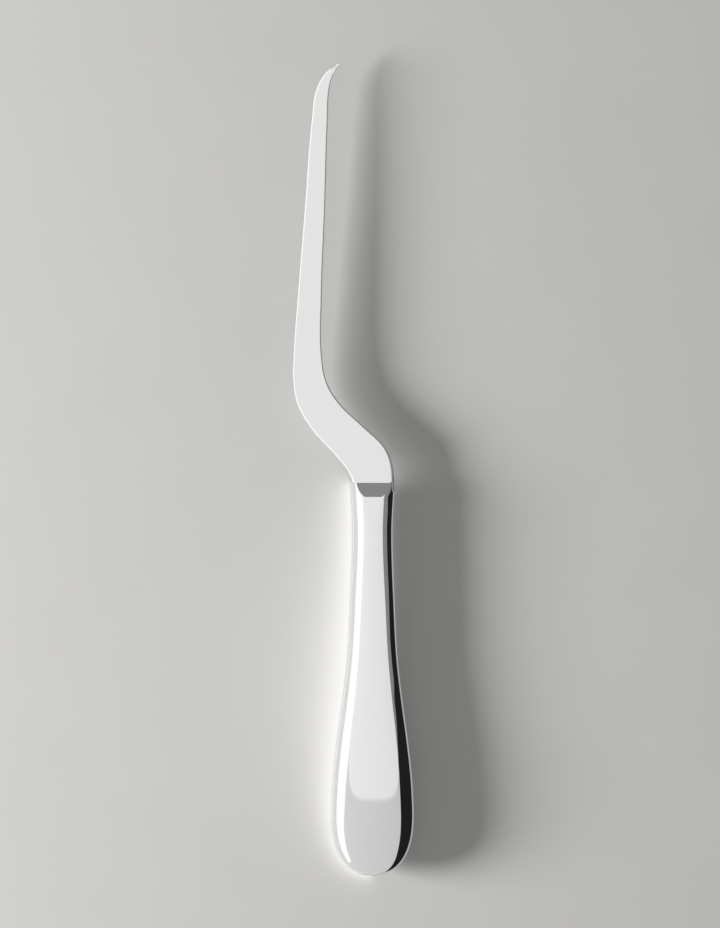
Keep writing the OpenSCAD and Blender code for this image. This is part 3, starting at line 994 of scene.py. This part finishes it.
def add_room(context, look, reflectance):
    """The room round the table. The steel sees its walls, the floor gets its ambient light, and the camera
    sees a plain backdrop."""
    world = bpy.data.worlds.new("studio_room")
    context.scene.world = world
    tree = empty_tree(world)
    place = add_node(tree, "ShaderNodeTexCoord")
    apart = add_node(tree, "ShaderNodeSeparateXYZ", {"Vector": (place, "Generated")})
    share = add_node(
        tree, "ShaderNodeMapRange",
        {"Value": (apart, "X"), "From Min": -ROOM_LEAN, "From Max": ROOM_LEAN}
    )
    walls = add_node(
        tree, "ShaderNodeMix",
        {
            "Factor": (share, "Result"),
            COLOUR_A: rgba(look.room_left, 1 / reflectance),
            COLOUR_B: rgba(look.room_right, 1 / reflectance),
        },
        data_type="RGBA"
    )
    ambient = add_node(
        tree, "ShaderNodeMix",
        {"Factor": (share, "Result"), COLOUR_A: rgba(look.ambient_left), COLOUR_B: rgba(look.ambient_right)},
        data_type="RGBA"
    )
    ray = add_node(tree, "ShaderNodeLightPath")
    lit = add_node(
        tree, "ShaderNodeMix",
        {"Factor": (ray, "Is Glossy Ray"), COLOUR_A: (ambient, COLOUR_OUT), COLOUR_B: (walls, COLOUR_OUT)},
        data_type="RGBA"
    )
    seen = add_node(
        tree, "ShaderNodeMix",
        {"Factor": (ray, "Is Camera Ray"), COLOUR_A: (lit, COLOUR_OUT), COLOUR_B: rgba(look.backdrop)},
        data_type="RGBA"
    )
    back = add_node(tree, "ShaderNodeBackground", {"Color": (seen, COLOUR_OUT)})
    add_node(tree, "ShaderNodeOutputWorld", {"Surface": (back, "Background")})


def add_key_light(context, look):
    """A wide softbox low on the left, which the steel doesn't show. The floor darkens away from it."""
    light = bpy.data.lights.new("key_light", "AREA")
    light.shape = "ELLIPSE"
    light.size = look.key_width
    light.size_y = look.key_tallness
    light.energy = look.key_power
    flat = KEY_DISTANCE * math.cos(look.key_height)
    height = KEY_DISTANCE * math.sin(look.key_height)
    place = Vector((-flat * math.cos(look.key_turn), -flat * math.sin(look.key_turn), height))
    key = put(context, "key_light", light)
    key.location = place
    key.rotation_euler = place.to_track_quat("Z", "Y").to_euler()
    hide_from(key, "camera", "glossy")


def add_glow(context, look):
    """A glowing band that stands along the handle's bright left side, and lights the floor there as the real
    steel does. Neither the camera nor the steel sees it."""
    handle = context.scene.knife_handle
    points = []
    for s in handle_rows(handle, 0, 0):
        x = MOUTH.x - half_width(handle, s) - GLOW_GAP
        top = curve(GLOW_TOPS, s / handle.length, 1)[0]
        points += [(x, MOUTH.y - s, GLOW_LOW), (x, MOUTH.y - s, top)]
    faces = [(i, i + 1, i + 3, i + 2) for i in range(0, len(points) - 2, 2)]
    band = stage_mesh(context, "handle_glow", points, faces, thrown_light(look))
    hide_from(band, "camera", "glossy", "shadow")


def add_floor(context, look):
    """The floor that the handle lies on."""
    n = FLOOR_LINES
    lines = [mix(-FLOOR_HALF, FLOOR_HALF, i / (n - 1)) for i in range(n)]
    points = [(x, y, 0) for y in lines for x in lines]
    faces = [(k, k + 1, k + n + 1, k + n) for j in range(n - 1) for k in range(j * n, j * n + n - 1)]
    floor = stage_mesh(context, "floor", points, faces, pale_floor(look))


def add_camera(context):
    """A long lens straight above, framed as the photograph is."""
    data = bpy.data.cameras.new("camera")
    data.lens = LENS
    data.sensor_width = SENSOR
    data.clip_end = CAMERA_REACH
    camera = put(context, "camera", data)
    distance = LENS / SENSOR * PHOTO_SIZE[1] * PHOTO_SCALE
    camera.location = (
        MOUTH.x + (PHOTO_MIDDLE[0] - PHOTO_MOUTH[0]) * PHOTO_SCALE,
        MOUTH.y - (PHOTO_MIDDLE[1] - PHOTO_MOUTH[1]) * PHOTO_SCALE,
        MOUTH.z + distance,
    )
    context.scene.camera = camera


class KNIFE_OT_stage(bpy.types.Operator):
    """Add the floor, the room, the lights, the cards and the camera"""

    bl_idname = "cheese_knife.stage"
    bl_label = "Stage"

    def execute(self, context):
        look = context.scene.knife_studio
        steel = context.scene.knife_finish.steel
        reflectance = sum(steel) / len(steel)
        context.scene.view_settings.view_transform = "Standard"
        add_floor(context, look)
        add_room(context, look, reflectance)
        add_key_light(context, look)
        add_glow(context, look)
        add_cards(context, look, reflectance)
        add_camera(context)
        return {"FINISHED"}


OPERATORS = (KNIFE_OT_blade, KNIFE_OT_handle_shells, KNIFE_OT_seam, KNIFE_OT_hidden_pieces, KNIFE_OT_stage)
GROUPS = {
    "knife_blade": BladeSizes,
    "knife_handle": HandleSizes,
    "knife_finish": KnifeFinish,
    "knife_studio": StudioLook,
}


class KNIFE_PT_panel(bpy.types.Panel):
    """The knife's pieces and sizes in the sidebar"""

    bl_idname = "KNIFE_PT_panel"
    bl_label = "Cheese Knife"
    bl_space_type = "VIEW_3D"
    bl_region_type = "UI"
    bl_category = "Cheese Knife"

    def draw(self, context):
        for operator in OPERATORS:
            self.layout.operator(operator.bl_idname)
        for name, group in GROUPS.items():
            box = self.layout.box()
            for setting in group.__annotations__:
                box.prop(getattr(context.scene, name), setting)


def register():
    """Registers the classes and hangs the settings on the scene."""
    for cls in (*GROUPS.values(), *OPERATORS, KNIFE_PT_panel):
        bpy.utils.register_class(cls)
    for name, group in GROUPS.items():
        setattr(bpy.types.Scene, name, PointerProperty(type=group))


def unregister():
    """Takes the settings and the classes away again."""
    for name in GROUPS:
        delattr(bpy.types.Scene, name)
    for cls in reversed((*GROUPS.values(), *OPERATORS, KNIFE_PT_panel)):
        bpy.utils.unregister_class(cls)


def main():
    """Builds the knife and its stage."""
    register()
    bpy.ops.cheese_knife.stage()
    bpy.ops.cheese_knife.blade()
    bpy.ops.cheese_knife.handle_shells()
    bpy.ops.cheese_knife.seam()
    bpy.ops.cheese_knife.hidden_pieces()


if __name__ == "__main__":
    main()
